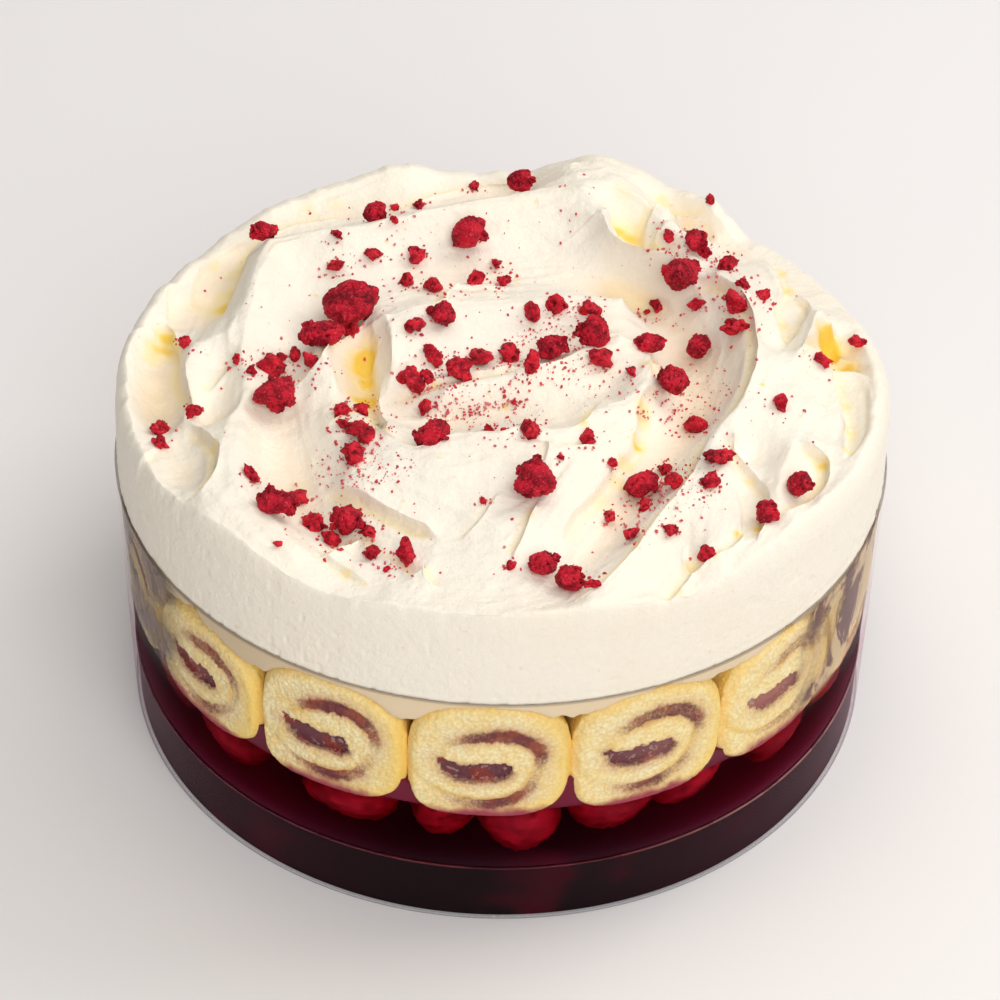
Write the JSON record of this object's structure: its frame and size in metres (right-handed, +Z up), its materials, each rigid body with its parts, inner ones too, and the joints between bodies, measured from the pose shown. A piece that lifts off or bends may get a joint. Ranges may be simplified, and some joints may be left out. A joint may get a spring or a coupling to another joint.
{
  "type": "trifle",
  "caption": "Layered raspberry trifle in a clear round tub: two jelly layers, a ring of Swiss roll slices, custard and swirled whipped cream with dried raspberry pieces.",
  "frame": {"origin": "middle of the tub's flat underside", "axes": "+Z up through the layers, -Y towards the front, +X to the right as seen from the front"},
  "size_m": [0.19, 0.19, 0.1091],
  "materials": {
    "clear_plastic": "clear and glossy",
    "lower_jelly": "set jelly, glossy, near black maroon",
    "upper_jelly": "set jelly, glossy, dark red, with raspberries in it",
    "sponge": "open yellow sponge crumb",
    "jam": "jam soaked into the crumb, dark purple",
    "custard": "smooth custard",
    "whipped_cream": "whipped cream, ivory, soft sheen",
    "dried_raspberry": "rough freeze-dried raspberry"
  },
  "bodies": {
    "root": {"bowl": "clear_plastic", "jelly_lower": "lower_jelly", "jelly_upper": "upper_jelly", "custard": "custard", "cream": "whipped_cream", "swiss_roll_01": "sponge", "swiss_roll_02": "sponge", "swiss_roll_03": "sponge", "swiss_roll_04": "sponge", "swiss_roll_05": "sponge", "swiss_roll_06": "sponge", "swiss_roll_07": "sponge", "swiss_roll_08": "sponge", "swiss_roll_09": "sponge", "swiss_roll_10": "sponge", "swiss_roll_11": "sponge", "swiss_roll_12": "sponge", "swiss_roll_13": "sponge", "swiss_roll_14": "sponge", "swiss_roll_15": "sponge", "roll_jam_01": "jam", "roll_jam_02": "jam", "roll_jam_03": "jam", "roll_jam_04": "jam", "roll_jam_05": "jam", "roll_jam_06": "jam", "roll_jam_07": "jam", "roll_jam_08": "jam", "roll_jam_09": "jam", "roll_jam_10": "jam", "roll_jam_11": "jam", "roll_jam_12": "jam", "roll_jam_13": "jam", "roll_jam_14": "jam", "roll_jam_15": "jam", "raspberry_piece_01": "dried_raspberry", "raspberry_piece_02": "dried_raspberry", "raspberry_piece_03": "dried_raspberry", "raspberry_piece_04": "dried_raspberry", "raspberry_piece_05": "dried_raspberry", "raspberry_piece_06": "dried_raspberry", "raspberry_piece_07": "dried_raspberry", "raspberry_piece_08": "dried_raspberry", "raspberry_piece_09": "dried_raspberry", "raspberry_piece_10": "dried_raspberry", "raspberry_piece_11": "dried_raspberry", "raspberry_piece_12": "dried_raspberry", "raspberry_piece_13": "dried_raspberry", "raspberry_piece_14": "dried_raspberry", "raspberry_piece_15": "dried_raspberry", "raspberry_piece_16": "dried_raspberry", "raspberry_piece_17": "dried_raspberry", "raspberry_piece_18": "dried_raspberry", "raspberry_piece_19": "dried_raspberry", "raspberry_piece_20": "dried_raspberry", "raspberry_piece_21": "dried_raspberry", "raspberry_piece_22": "dried_raspberry", "raspberry_piece_23": "dried_raspberry", "raspberry_piece_24": "dried_raspberry"}
  },
  "joints": []
}
